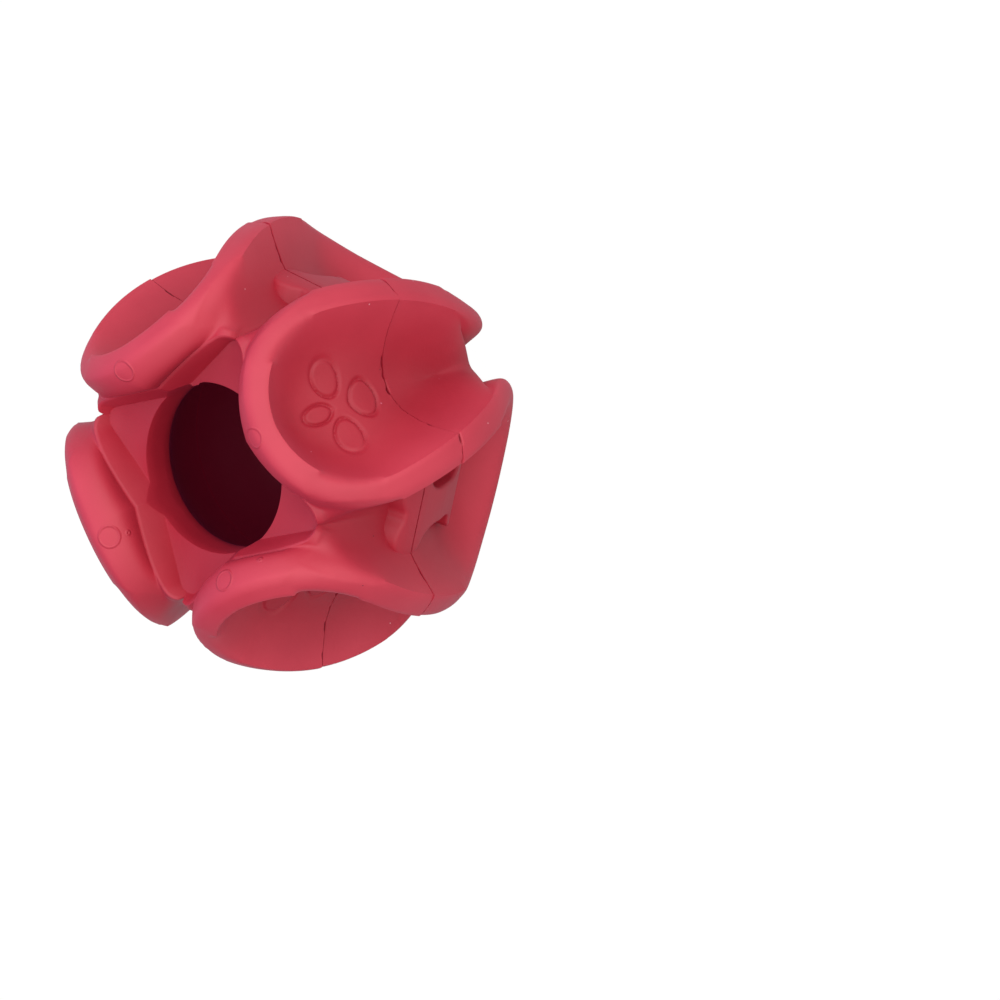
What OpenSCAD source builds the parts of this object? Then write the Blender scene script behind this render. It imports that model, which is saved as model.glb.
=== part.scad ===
// Treat dispensing ball of moulded rubber, in two half shells bonded at the equator.
// The Z axis runs through the opening. The ball stands on the lobe tips round its base, at z = 0.
// Eight scooped dishes alternate round the ball, and one wavy ridge band parts them.
// Four dishes close towards the opening and carry a paw, four close towards the base
// and carry a bone. Each runs out past the seam as a valley between the next two lobes.

/* [Ball] */
// Diameter over the ridge band
ball_d = 80; // [76:1:96]
// How far the seam lies above the middle of the ball, towards the opening
seam_rise = 2.2; // [0:0.1:2.5]
// Diameter of the treat chamber
chamber_d = 40; // [37:1:42]
// Thickness of the bonding layer at the seam
bond_t = 0.3; // [0.2:0.1:0.6]
// How far the bonding layer stays back from the outer skin
bond_inset = 0.3; // [0.1:0.1:0.8]

/* [Rubber between the chamber and the dishes] */
// Under the paw dishes, at the seam
paw_wall = 6.9; // [5:0.1:9]
// Under the bowl at the closed end of a paw dish
paw_bowl_wall = 6.2; // [5:0.1:8]
// Under the bone dishes, at the seam
bone_wall = 7.7; // [6:0.1:9]
// Under the bowl at the closed end of a bone dish
bone_bowl_wall = 6.9; // [5:0.1:8]
// At the closed base
base_wall = 9; // [6:0.1:10]

/* [Ridge band] */
// Width along the sides of the lobes and across the seam
band_w = 5.1; // [3.5:0.1:6]
// Width round the tip of each lobe
band_tip_w = 4.1; // [2.5:0.1:5]
// How much lower the softened edges of the band lie
band_soft = 0.4; // [0.2:0.1:1]
// Lean of the band against the axis where it crosses the seam, in degrees
band_lean = 17; // [12:0.5:22]
// From the band to the rim of the recess, at the tip of a paw lobe
rim_gap = 1.4; // [1:0.1:3]
// From the band to the flat of the base, at the tip of a bone lobe
base_gap = 3.3; // [2.5:0.1:5]
// How far the rounded shoulder stands out past the tip of a paw lobe
paw_shoulder = 2.1; // [0:0.1:2.5]
// How far the rounded shoulder stands out past the tip of a bone lobe
bone_shoulder = 0.4; // [0:0.1:1.5]

/* [Opening] */
// Diameter of the round hole
hole_d = 30.5; // [26:0.5:32]
// Length of the round hole, from the chamber to the ledge
hole_len = 6.5; // [4:0.1:8]
// Depth of the star-shaped recess at the lobes, above the ledge
recess_depth = 4.6; // [2:0.1:6]
// Height of the valley lips above the ledge, at the points of the star
lip_h = 0.4; // [0.2:0.1:1.5]
// Least width of the ledge, in front of each lobe
ledge_w = 0.5; // [0.3:0.1:1.2]
// Reach of the points of the star past the hole, before they are rounded
star_reach = 10.7; // [8:0.1:12]
// Radius of the points of the star
star_round = 2; // [1:0.1:3]

/* [Bone pads] */
// Length of a bone over its knobs
bone_l = 26; // [20:0.5:28]
// Width of a bone over its knobs
bone_w = 16; // [12:0.5:17]
// Width of a bone at its waist
bone_waist = 7.5; // [5:0.5:10]
// Radius of the knobs
bone_knob_r = 4.1; // [3:0.1:5]
// Height of a bone above the bowl of its dish
bone_rise = 4.1; // [2:0.1:5]
// Latitude of the middle of a bone, in degrees from the seam
bone_lat = 16; // [12:0.5:18]

/* [Hidden] */

rubber = "#c8324a";
bond = "#7a1626";

lobes = 4;
sectors = 2 * lobes;
pitch = 180 / lobes;
smooth_fn = 96;

ball_r = ball_d / 2;
chamber_r = chamber_d / 2;
hole_r = hole_d / 2;
band_r = ball_r - band_soft;
overrun = 2 * ball_r;

// Levels round the opening, up from the flat of the half shell at the seam
hole_z = sqrt(chamber_r * chamber_r - hole_r * hole_r);
ledge_z = hole_z + hole_len;
rim_z = ledge_z + recess_depth;
lip_z = ledge_z + lip_h;
base_z = chamber_r + base_wall;

// Distances of the dish floors from the middle of the ball
paw_r = chamber_r + paw_wall;
paw_bowl_r = chamber_r + paw_bowl_wall;
bone_r = chamber_r + bone_wall;
bone_bowl_r = chamber_r + bone_bowl_wall;
bone_top_r = bone_bowl_r + bone_rise;
bone_root_r = chamber_r + bone_bowl_wall / 3;

// The grid: a row runs from the middle of a dish over the band to the rim or the next
// valley, and the rows follow the band from the tip of the lobe down to the seam
rows = 24;
rim_rows = 14;
tip_rows = 3;
fan_rows = 6;
dish_shares = [0, 0.3, 0.55, 0.72, 0.85, 0.94];
band_shares = [-1, -0.45, 0.45, 1];
valley_shares = [0.06, 0.15, 0.28, 0.45, 0.7, 1];
cols = len(dish_shares) + len(band_shares) + len(valley_shares) - 1;

// How the skin falls away from the band, as shares of three curves: straight, bowl and steep
wall_power = 9;
steep_power = 6;
dish_bowl_shares = [[0, 0.25], [1, 0.55]];
paw_straight_shares = [[0, 0.85], [0.3, 0.6], [0.62, 0.1], [1, 0]];
paw_bowl_shares = [[0, 0], [0.3, 0.15], [0.62, 0.45], [1, 0.55]];
base_straight_shares = [[0, 0.46], [0.3, 0.6], [0.55, 0.1], [1, 0]];
base_bowl_shares = [[0, 0.3], [0.55, 0.45], [1, 0.55]];
band_grow_share = 0.45;
anchor_start_share = fan_rows / rows;
anchor_power = 1.6;
shoulder_end_share = 0.6;
shoulder_power = 0.5;
lip_power = 3;
valley_power = 1.5;
base_power = 7;
base_lat = 65.5;

east_v = [0, 1, 0];
seam_v = [cos(pitch / 2), sin(pitch / 2), 0];

function unit(v) = v / norm(v);
function degrees_of(len) = len / ball_r * 180 / PI;
function fall(t, straight, bowl, power) =
    straight * t + bowl * t * t + (1 - straight - bowl) * pow(t, power);
// Rises to 1 a third of the way along and comes back to nothing
function bump(t) = 6.75 * t * (1 - t) * (1 - t);

// Round a lobe, all at longitude 0: the latitude of its middle, a bearing from north and
// the angle away from the middle
function north_v(lat) = [-sin(lat), 0, cos(lat)];
function ring_point(lat, bearing, span) =
    cos(span) * [cos(lat), 0, sin(lat)]
    + sin(span) * (cos(bearing) * north_v(lat) + sin(bearing) * east_v);
// From where the band crosses the seam: how far off the middle of the lobe lies, its bearing,
// and how wide a circle round it the leaning band touches
function seam_span(lat) = acos(cos(lat) * seam_v[0]);
function lobe_bearing(lat) = atan2(cos(lat) * seam_v[1], sin(lat));
function ring_span(lat) = asin(sin(lobe_bearing(lat) + band_lean) * sin(seam_span(lat)));
// The latitude of the lobe whose band reaches a given latitude at its tip, found by halving
function lobe_lat(tip_lat, low = 0, high = pitch, steps = 40) =
    let (mid = (low + high) / 2)
    steps == 0
        ? mid
        : mid + ring_span(mid) > tip_lat
            ? lobe_lat(tip_lat, low, mid, steps - 1)
            : lobe_lat(tip_lat, mid, high, steps - 1);

// The band goes round the lobe on a circle, then leaves it along a great circle to the seam.
// This list holds the lobe's latitude, the circle's angle, the lengths of both parts, and
// the directions of the turning point, of the run after it and of its side.
function band_of(tip_lat) =
    let (lat = lobe_lat(tip_lat))
    let (span = ring_span(lat))
    let (seam_bearing = atan2(seam_v * east_v, seam_v * north_v(lat)))
    let (turn = seam_bearing - acos(tan(span) / tan(seam_span(lat))))
    let (turn_v = ring_point(lat, turn, span))
    let (run_v = unit(seam_v - turn_v * (seam_v * turn_v)))
    let (run_len = acos(cos(seam_span(lat)) / cos(span)))
    [lat, span, sin(span) * turn, run_len, turn_v, run_v, ring_point(lat, turn, span + 90)];

// A line beside the band's middle, at an angle off it, ends exactly in the seam plane. With
// an aim of 90 this is the direction out of the lobe there.
function line_len(b, off) = b[2] + b[3] + asin(tan(off) * b[6][2] / norm([b[4][2], b[5][2]]));
function line_point(b, u, off, aim = 0) =
    let (run = u * line_len(b, off) - b[2])
    let (side = off + aim)
    run <= 0
        ? ring_point(b[0], u * line_len(b, off) / sin(b[1]), b[1] + side)
        : cos(side) * (cos(run) * b[4] + sin(run) * b[5]) + sin(side) * b[6];

// Half the width of the band as an angle
function half_band(u) =
    let (grow = min(1, u / band_grow_share))
    degrees_of(band_tip_w + (band_w - band_tip_w) * grow) / 2;

// Directions between two others, along the great circle through both
function between(a, b, t) =
    let (span = acos(min(1, a * b)))
    (sin((1 - t) * span) * a + sin(t * span) * b) / sin(span);

// The star's side runs from the lobe to where its rounded point begins
side_start = [hole_r + ledge_w, 0];
star_corner = (hole_r + star_reach) * [cos(pitch), sin(pitch)];
side_dir = unit(star_corner - side_start);
point_half = acos(side_dir * unit(star_corner));
side_end = star_corner - side_dir * star_round / tan(point_half);
point_c = star_corner - unit(star_corner) * star_round / sin(point_half);
point_r = norm(point_c) + star_round;
function point_arc(t) =
    let (start = atan2(side_dir[1], side_dir[0]) - 90)
    let (turn = start + (pitch - start) * t)
    point_c + star_round * [cos(turn), sin(turn)];
function star_xy(i) =
    i <= rim_rows - tip_rows
        ? side_start + (side_end - side_start) * i / (rim_rows - tip_rows)
        : point_arc((i - rim_rows + tip_rows) / tip_rows);
function rim_height(t) = lip_z + (rim_z - lip_z) * sqrt(max(0, 1 - pow(t, lip_power)));

paw_band = band_of(atan2(rim_z, side_start[0]) - degrees_of(rim_gap + band_tip_w / 2));
bone_band = band_of(base_lat - degrees_of(base_gap + band_tip_w / 2));

// The far end of each row: round the recess and down the valley, or round the base
function recess_end(i) =
    let (t = (i - rim_rows) / (rows - rim_rows))
    let (valley_r = bone_r - (bone_r - point_r) * pow(max(0, 1 - t), valley_power))
    i <= rim_rows
        ? [star_xy(i)[0], star_xy(i)[1], rim_height(i / rim_rows)]
        : [valley_r * cos(pitch), valley_r * sin(pitch), lip_z * (1 - t)];
function base_radius(lat) =
    pow(pow(cos(lat) / paw_r, base_power) + pow(sin(lat) / base_z, base_power), -1 / base_power);
function base_end(i) =
    let (lon = pitch * min(1, i / rim_rows))
    let (lat = base_lat * min(1, (rows - i) / (rows - rim_rows)))
    base_radius(lat) * [cos(lat) * cos(lon), cos(lat) * sin(lon), sin(lat)];

// Distance of the ball's skin from the middle of the seam, along a unit vector
function skin_r(v, r, rise) = sqrt(r * r - rise * rise * (1 - v[2] * v[2])) - rise * v[2];

// The points of one row in the sector beside the middle of a lobe
function dish_row(b, i, seam_floor, bowl_floor, rise) =
    let (u = i / rows)
    let (move = pow(max(0, (u - anchor_start_share) / (1 - anchor_start_share)), anchor_power))
    let (lat = b[0] * (1 - move))
    let (anchor = [cos(lat), 0, sin(lat)])
    let (edge = line_point(b, u, -half_band(u)))
    let (floor_r = bowl_floor + (seam_floor - bowl_floor) * move)
    let (bowl = lookup(u, dish_bowl_shares))
    let (rise_r = skin_r(edge, band_r, rise) - floor_r)
    let (power = wall_power + (steep_power - wall_power) * u)
    [for (t = dish_shares)
        between(anchor, edge, t) * (floor_r + rise_r * fall(t, 0, bowl, power))];
function band_row(b, i, rise) =
    let (u = i / rows)
    [for (t = band_shares)
        let (v = line_point(b, u, t * half_band(u)))
        v * skin_r(v, abs(t) == 1 ? band_r : ball_r, rise)];
function valley_row(b, i, end, straight, bowl, rise, shoulder) =
    let (u = i / rows)
    let (edge = line_point(b, u, half_band(u)))
    let (rise_r = skin_r(edge, band_r, rise) - norm(end))
    let (fade = pow(max(0, 1 - u / shoulder_end_share), shoulder_power))
    let (out = line_point(b, u, half_band(u), 90) * shoulder * fade)
    [for (t = valley_shares)
        let (r = norm(end) + rise_r * fall(1 - t, straight, bowl, steep_power))
        between(edge, unit(end), t) * r + out * bump(t)];
function paw_row(i) =
    let (b = paw_band)
    let (straight = lookup(i / rows, paw_straight_shares))
    let (bowl = lookup(i / rows, paw_bowl_shares))
    concat(
        dish_row(b, i, paw_r, paw_bowl_r, seam_rise),
        band_row(b, i, seam_rise),
        valley_row(b, i, recess_end(i), straight, bowl, seam_rise, paw_shoulder));
function bone_row(i) =
    let (b = bone_band)
    let (straight = lookup(i / rows, base_straight_shares))
    let (bowl = lookup(i / rows, base_bowl_shares))
    concat(
        dish_row(b, i, bone_r, bone_bowl_r, -seam_rise),
        band_row(b, i, -seam_rise),
        valley_row(b, i, base_end(i), straight, bowl, -seam_rise, bone_shoulder));

// Height of the seam plane over the lobe tips that the ball stands on
seam_z = bond_t / 2 + max([for (i = [0:rows], p = bone_row(i)) p[2]]);

// Sectors come in mirrored pairs, one pair a lobe. Even sectors lie east of the lobe.
function place(p, s) =
    let (turn = pitch * (s - s % 2) + pitch / 2)
    let (y = s % 2 == 0 ? p[1] : -p[1])
    [p[0] * cos(turn) - y * sin(turn), p[0] * sin(turn) + y * cos(turn), p[2]];
function west_of(s) = (s - 3 + sectors) % sectors;
function slot_of(s, i, j) = (s * (rows + 1) + i) * (cols + 1) + j;
// One number for each point, also where two sectors or the rows of a fan share it
function shared(s, i, j) =
    let (middle = i == 0 || j == 0)
    let (line = j == 0 && i <= fan_rows ? 0 : i)
    let (owner = s % 2 == 0 ? s : middle ? s - 1 : j == cols && i >= rim_rows ? west_of(s) : s)
    slot_of(owner, line, j);
function rim_slot(s, i) =
    let (owner = s % 2 == 0 ? s : i == 0 ? s - 1 : i == rim_rows ? west_of(s) : s)
    sectors * (rows + 1) * (cols + 1) + owner * (rim_rows + 1) + i;

function facing(s, f) = s % 2 == 0 ? f : [for (k = [len(f) - 1:-1:0]) f[k]];
function skin_faces() = [
    for (s = [0:sectors - 1], i = [0:rows - 1], j = [0:cols - 1])
        let (a = shared(s, i, j), b = shared(s, i, j + 1))
        let (c = shared(s, i + 1, j + 1), d = shared(s, i + 1, j))
        each [if (a != b) facing(s, [a, b, c]), if (a != d) facing(s, [a, c, d])]];
// A flat face is a fan round a middle point, which stands last in the list of points
function fan(ring, middle) = [
    for (k = [0:len(ring) - 1]) [middle, ring[k], ring[(k + 1) % len(ring)]]];
function seam_ring() = [
    for (q = [0:lobes - 1]) each concat(
        [for (j = [0:cols - 1]) shared(2 * q, rows, j)],
        [for (j = [cols:-1:1]) shared((2 * q + 3) % sectors, rows, j)])];
function points_of(row_list) = [
    for (s = [0:sectors - 1], row = row_list, p = row) place(p, s)];

// The half shell round the opening, still solid. Its recess has upright walls and a flat ledge.
module paw_blank() {
    row_list = [for (i = [0:rows]) paw_row(i)];
    foot = [
        for (s = [0:sectors - 1], i = [0:rim_rows])
            place([star_xy(i)[0], star_xy(i)[1], ledge_z], s)];
    walls = [
        for (s = [0:sectors - 1], i = [0:rim_rows - 1])
            facing(s, [shared(s, i, cols), rim_slot(s, i), rim_slot(s, i + 1), shared(s, i + 1, cols)])];
    ledge_ring = [
        for (q = [lobes - 1:-1:0]) each concat(
            [for (i = [rim_rows:-1:1]) rim_slot(2 * q, i)],
            [for (i = [0:rim_rows - 1]) rim_slot(2 * q + 1, i)])];
    points = concat(points_of(row_list), foot);
    ledge = fan(ledge_ring, len(points));
    seam = fan(seam_ring(), len(points) + 1);
    polyhedron(concat(points, [[0, 0, ledge_z], [0, 0, 0]]), concat(skin_faces(), walls, ledge, seam));
}

// The half shell with the closed base, still solid. Its base ends in a flat disc.
module bone_blank() {
    row_list = [for (i = [0:rows]) bone_row(i)];
    disc_ring = [
        for (q = [lobes - 1:-1:0]) each concat(
            [for (i = [rim_rows:-1:1]) shared(2 * q, i, cols)],
            [for (i = [0:rim_rows - 1]) shared(2 * q + 1, i, cols)])];
    points = points_of(row_list);
    disc = fan(disc_ring, len(points));
    seam = fan(seam_ring(), len(points) + 1);
    polyhedron(concat(points, [[0, 0, base_end(0)[2]], [0, 0, 0]]), concat(skin_faces(), disc, seam));
}

// A flat bone with its length along X
module bone_outline() {
    knob_x = bone_l / 2 - bone_knob_r;
    knob_y = bone_w / 2 - bone_knob_r;
    square([2 * knob_x, bone_waist], center = true);
    for (x = [-knob_x, knob_x], y = [-knob_y, knob_y]) {
        translate([x, y]) circle(r = bone_knob_r, $fn = smooth_fn);
    }
}

// Bone pads, rooted in the rubber, on the side of the seam with z over 0. Their tops are
// rounded along the bone only.
module bone_pads(lat, turn) {
    for (q = [0:lobes - 1]) {
        rotate([0, 0, turn + 2 * pitch * q]) intersection() {
            rotate([90, 0, 0]) cylinder(r = bone_top_r, h = ball_r, center = true, $fn = smooth_fn);
            translate([0, -overrun, 0]) cube(2 * overrun);
            rotate([0, 90 - lat, 0])
                translate([0, 0, bone_root_r])
                    linear_extrude(ball_r) bone_outline();
        }
    }
}

module chamber() {
    sphere(r = chamber_r, $fn = smooth_fn);
}

// Half shell with the opening and the paw dishes
module paw_half() {
    color(rubber) translate([0, 0, seam_z + bond_t / 2]) difference() {
        union() {
            paw_blank();
            bone_pads(-bone_lat, pitch / 2 + pitch);
        }
        chamber();
        cylinder(r = hole_r, h = overrun, $fn = smooth_fn);
    }
}

// Half shell with the closed base and the bone dishes
module bone_half() {
    color(rubber) translate([0, 0, seam_z - bond_t / 2]) rotate([180, 0, 0]) difference() {
        union() {
            bone_blank();
            bone_pads(bone_lat, pitch / 2);
        }
        chamber();
    }
}

// Layer of bonding rubber between the half shells, a little back from the skin
module seam_bond() {
    seam_row = paw_row(rows);
    outline = [
        for (q = [0:lobes - 1]) each concat(
            [for (j = [0:cols]) place(seam_row[j], 2 * q)],
            [for (j = [cols - 1:-1:1]) place(seam_row[j], (2 * q + 3) % sectors)])];
    color(bond) translate([0, 0, seam_z - bond_t / 2]) linear_extrude(bond_t) difference() {
        polygon([for (p = outline) [p[0], p[1]] * (1 - bond_inset / norm([p[0], p[1]]))]);
        circle(r = chamber_r, $fn = smooth_fn);
    }
}

paw_half();
bone_half();
seam_bond();
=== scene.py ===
# looks for the treat dispensing ball, in metres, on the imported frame
import bpy
import bmesh
import math
from mathutils import Vector, Matrix, noise


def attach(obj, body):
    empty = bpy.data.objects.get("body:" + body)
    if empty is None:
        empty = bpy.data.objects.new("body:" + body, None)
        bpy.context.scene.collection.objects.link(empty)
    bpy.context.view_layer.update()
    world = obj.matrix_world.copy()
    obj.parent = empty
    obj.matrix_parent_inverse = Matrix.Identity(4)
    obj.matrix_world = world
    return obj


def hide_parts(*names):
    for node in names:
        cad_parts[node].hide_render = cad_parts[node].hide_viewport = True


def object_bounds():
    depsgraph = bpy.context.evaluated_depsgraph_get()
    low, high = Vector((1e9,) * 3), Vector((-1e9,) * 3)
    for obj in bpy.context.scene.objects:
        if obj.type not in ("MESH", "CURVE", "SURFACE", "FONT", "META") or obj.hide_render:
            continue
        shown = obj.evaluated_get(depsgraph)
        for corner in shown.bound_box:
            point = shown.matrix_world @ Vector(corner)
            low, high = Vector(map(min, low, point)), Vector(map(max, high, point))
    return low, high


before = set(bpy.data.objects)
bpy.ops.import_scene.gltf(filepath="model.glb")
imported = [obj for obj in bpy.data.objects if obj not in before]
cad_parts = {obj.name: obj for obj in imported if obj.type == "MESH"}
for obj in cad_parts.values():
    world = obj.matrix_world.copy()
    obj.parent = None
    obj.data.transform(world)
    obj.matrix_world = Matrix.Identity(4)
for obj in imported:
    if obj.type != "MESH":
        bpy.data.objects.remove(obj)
cadLow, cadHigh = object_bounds()
scene = bpy.context.scene
print("frame loaded:", ", ".join(sorted(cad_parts)))

ball = {
    "outer": 0.040,            # radius over the ridge band
    "seamRise": 0.0022,        # the seam lies this far above the ball's middle
    "bandSoft": 0.0004,        # how far the band's edges are eased
    "bandWidth": 0.0051,
    "bandTipWidth": 0.0041,    # at the tip of a lobe
    "bandWidens": 0.45,        # the share of the rows over which it gets its full width
    "bandLean": 17,            # degrees against the axis where the band crosses the seam
    "chamber": 0.020,          # radius
    "hole": 0.01525,           # radius
    "ledge": 0.01944,          # height over the seam
    "bondHalf": 0.00015,       # half the thickness of the bonding layer
    "seamHeight": 0.03637,     # of the seam plane over the lobe tips that the ball stands on
}
lobeStep = 90      # degrees from lobe to lobe of one half
halfStep = 45      # from a lobe to the next valley, where the other half has its lobe
crossing = 22.5    # from the middle of a lobe to where the band crosses the seam
sameSpot = 0.000004


def cosd(a):
    return math.cos(math.radians(a))


def sind(a):
    return math.sin(math.radians(a))


def lerp(a, b, t):
    return a + (b - a) * t


def smooth(t):
    t = min(1, max(0, t))
    return t * t * (3 - 2 * t)


def track(x, points):
    # straight lines through (x, y) pairs
    for (x0, y0), (x1, y1) in zip(points, points[1:]):
        if x <= x1:
            return lerp(y0, y1, max(0, (x - x0) / (x1 - x0)))
    return points[-1][1]


def roundLobe(lat, bearing, away):
    # a direction beside the middle of the lobe at longitude 0, from its bearing and angle away
    side = Vector((-sind(lat), 0, cosd(lat))) * cosd(bearing) + Vector((0, 1, 0)) * sind(bearing)
    return Vector((cosd(lat), 0, sind(lat))) * cosd(away) + side * sind(away)


def bandOf(tipLat):
    # the ridge band goes round the lobe on a circle, then along a great circle to the seam
    seamDir = Vector((cosd(crossing), sind(crossing), 0))
    low, high = 0, 45
    for _ in range(40):
        lat = (low + high) / 2
        off = math.acos(cosd(lat) * cosd(crossing))
        bearing = math.atan2(cosd(lat) * sind(crossing), sind(lat)) + math.radians(ball["bandLean"])
        span = math.asin(math.sin(bearing) * math.sin(off))
        low, high = (low, lat) if lat + math.degrees(span) > tipLat else (lat, high)
    north = Vector((-sind(lat), 0, cosd(lat)))
    turn = math.atan2(seamDir.y, seamDir.dot(north)) - math.acos(math.tan(span) / math.tan(off))
    turn = math.degrees(turn)
    span = math.degrees(span)
    leave = roundLobe(lat, turn, span)
    onward = (seamDir - leave * seamDir.dot(leave)).normalized()
    return {
        "lat": lat, "span": span, "leave": leave, "onward": onward,
        "side": roundLobe(lat, turn, span + 90),
        "round": sind(span) * turn,
        "run": math.degrees(math.acos(math.cos(off) / cosd(span))),
    }


def bandPoint(band, u, off, aim=0):
    # off is how far beside the band's middle, and an aim of 90 gives the way out of the lobe
    steep = math.hypot(band["leave"].z, band["onward"].z)
    past = math.degrees(math.asin(math.tan(math.radians(off)) * band["side"].z / steep))
    s = u * (band["round"] + band["run"] + past)
    if s <= band["round"]:
        return roundLobe(band["lat"], s / sind(band["span"]), band["span"] + off + aim)
    g = s - band["round"]
    way = band["leave"] * cosd(g) + band["onward"] * sind(g)
    return way * cosd(off + aim) + band["side"] * sind(off + aim)


def halfBand(u):
    width = lerp(ball["bandTipWidth"], ball["bandWidth"], min(1, u / ball["bandWidens"]))
    return math.degrees(width / ball["outer"]) / 2


def between(a, b, t):
    angle = a.angle(b)
    if angle < 1e-6:
        return a.copy()
    return (a * math.sin((1 - t) * angle) + b * math.sin(t * angle)) / math.sin(angle)


def skinRadius(d, r, rise):
    return math.sqrt(r * r - rise * rise * (1 - d.z * d.z)) - rise * d.z


def fall(t, straight, bowl, power=6):
    return straight * t + bowl * t * t + (1 - straight - bowl) * t ** power


# what differs between the two half shells; a row runs from the middle of a dish to the rim
# or the next valley, and the rows follow the band from the tip of the lobe to the seam
# endSoft eases the band's edge at the tip, and the floors are radii
# shoulder is how much fuller the lobe is beside the band
# straight and bowl shape the side of a valley along the rows, and columns share out a row
shells = {
    "paw": {
        "rise": ball["seamRise"], "band": bandOf(51.83), "endSoft": 0.0005,
        "seamFloor": 0.0269, "bowlFloor": 0.0262, "valleyFloor": 0.0277, "shoulder": 0.0021,
        # the recess: from the axis to its edge at a lobe and in a valley, and its rounding there
        "starSide": 0.0141, "starCorner": 0.02645, "starRound": 0.0024, "wallLean": 0.42,
        # height of that edge over the seam at a lobe and in a valley, and how far it is rounded
        "rim": 0.02404, "lip": 0.0204, "rimEdge": 0.0004,
        "straight": ((0, 0.85), (0.3, 0.6), (0.58, 0.08), (0.64, 0), (1, 0)),
        "bowl": ((0, 0), (0.3, 0.15), (0.62, 0.45), (1, 0.55)),
        "columns": (58, 10, 30),
    },
    "bone": {
        "rise": -ball["seamRise"], "band": bandOf(57.84), "endSoft": 0.0010,
        "seamFloor": 0.0277, "bowlFloor": 0.0269, "valleyFloor": 0.0269, "shoulder": 0.0004,
        "baseHeight": 0.029, "basePower": 9.5, "baseLat": 65.5,
        "straight": ((0, 0.46), (0.3, 0.6), (0.55, 0.05), (0.62, 0), (1, 0)),
        "bowl": ((0, 0.3), (0.55, 0.45), (1, 0.55)),
        "columns": (54, 10, 34),
    },
}
rowCount, rimRow = 96, 56
rimShare = rimRow / rowCount
chamberSteps = 96


def rowShare(row):
    # even rows down to the end of the rim, then closer towards the seam
    if row <= rimRow:
        return row / rowCount
    left = (rowCount - row) / (rowCount - rimRow)
    return 1 - (1 - rimShare) * left ** 1.3


def starPoint(kit, t, roundShare=1 / 7):
    # the rim of the recess from the middle of a lobe (t 0) to the point between two lobes (t 1)
    start = Vector((kit["starSide"], 0))
    corner = Vector((cosd(halfStep), sind(halfStep))) * kit["starCorner"]
    along = (corner - start).normalized()
    half = math.acos(along.dot(corner.normalized()))
    end = corner - along * kit["starRound"] / math.tan(half)
    outward = Vector((along.y, -along.x))
    if t <= 1 - roundShare:
        # straight out at the middle of the lobe, so that the mirrored halves meet
        way = Vector((1, 0)).lerp(outward, smooth(t / 0.12)).normalized()
        return start.lerp(end, t / (1 - roundShare)), way
    middle = corner * (1 - kit["starRound"] / math.sin(half) / kit["starCorner"])
    a0 = math.degrees(math.atan2(outward.y, outward.x))
    a = lerp(a0, halfStep, (t - 1 + roundShare) / roundShare)
    outward = Vector((cosd(a), sind(a)))
    return middle + outward * kit["starRound"], outward


def rimPoint(kit, t):
    # the foot of the recess wall, the rim's height, the way out and how far the edge is rounded
    flat, outward = starPoint(kit, t)
    z = kit["lip"] + (kit["rim"] - kit["lip"]) * math.sqrt(max(0, 1 - t ** 3))
    return flat, z, outward, min(kit["rimEdge"], 0.4 * (z - ball["ledge"]))


def wallPoint(kit, t, turn):
    # on the rounded edge of the recess: a turn of 0 lies on its top and 90 on the leaning wall
    flat, z, outward, ease = rimPoint(kit, t)
    z -= ease * (1 - cosd(turn))
    side = flat + outward * (kit["wallLean"] * (z - ball["ledge"]) + ease * (1 - sind(turn)))
    return Vector((side.x, side.y, z))


def farEnd(name, kit, u):
    # where a row ends: on the rim of the recess or base, then down the valley to the seam
    t = min(1, u / rimShare)
    k = max(0, (u - rimShare) / (1 - rimShare))
    if name == "paw":
        top = wallPoint(kit, t, 0)
        if k == 0:
            return top
        r = kit["valleyFloor"] - (kit["valleyFloor"] - top.xy.length) * (1 - k) ** 1.5
        return Vector((r * cosd(halfStep), r * sind(halfStep), kit["lip"] * (1 - k)))
    lat = kit["baseLat"] * (1 - k)
    p = kit["basePower"]
    r = ((cosd(lat) / kit["valleyFloor"]) ** p + (sind(lat) / kit["baseHeight"]) ** p) ** (-1 / p)
    return Vector((cosd(lat) * cosd(halfStep * t), cosd(lat) * sind(halfStep * t), sind(lat))) * r


def skinPoint(name, kit, u, part, t):
    # part 0 is the dish, 1 the band and 2 the side of the valley
    band = kit["band"]
    ease = lerp(kit["endSoft"], ball["bandSoft"], smooth(u / 0.62))
    if part == 0:
        move = max(0, (u - 0.25) / 0.75) ** 1.6
        lat = band["lat"] * (1 - move)
        edge = bandPoint(band, u, -halfBand(u))
        floor = lerp(kit["bowlFloor"], kit["seamFloor"], move)
        top = skinRadius(edge, ball["outer"] - ball["bandSoft"] * 0.5, kit["rise"])
        share = fall(t, 0, 0.25 + 0.3 * u, 9 - 3 * u)
        return between(Vector((cosd(lat), 0, sind(lat))), edge, t) * lerp(floor, top, share)
    if part == 1:
        # crisp towards the dish, softer towards the valley
        x = 2 * t - 1
        soft = ease * max(0, (x - 0.2) / 0.8) ** 2
        soft += 0.5 * ball["bandSoft"] * max(0, (-x - 0.7) / 0.3) ** 2
        d = bandPoint(band, u, x * halfBand(u))
        return d * skinRadius(d, ball["outer"] - soft, kit["rise"])
    edge = bandPoint(band, u, halfBand(u))
    end = farEnd(name, kit, u)
    top = skinRadius(edge, ball["outer"] - ease, kit["rise"])
    share = fall(1 - t, track(u, kit["straight"]), track(u, kit["bowl"]))
    skin = between(edge, end.normalized(), t) * lerp(end.length, top, share)
    # the shoulder beside the band is fullest at the tip; 0.303 is the most that its curve reaches
    out = bandPoint(band, u, halfBand(u), 90) * kit["shoulder"] * math.sqrt(max(0, 1 - u / 0.6))
    return skin + out * t ** 0.75 * (1 - t) / 0.303


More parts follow.
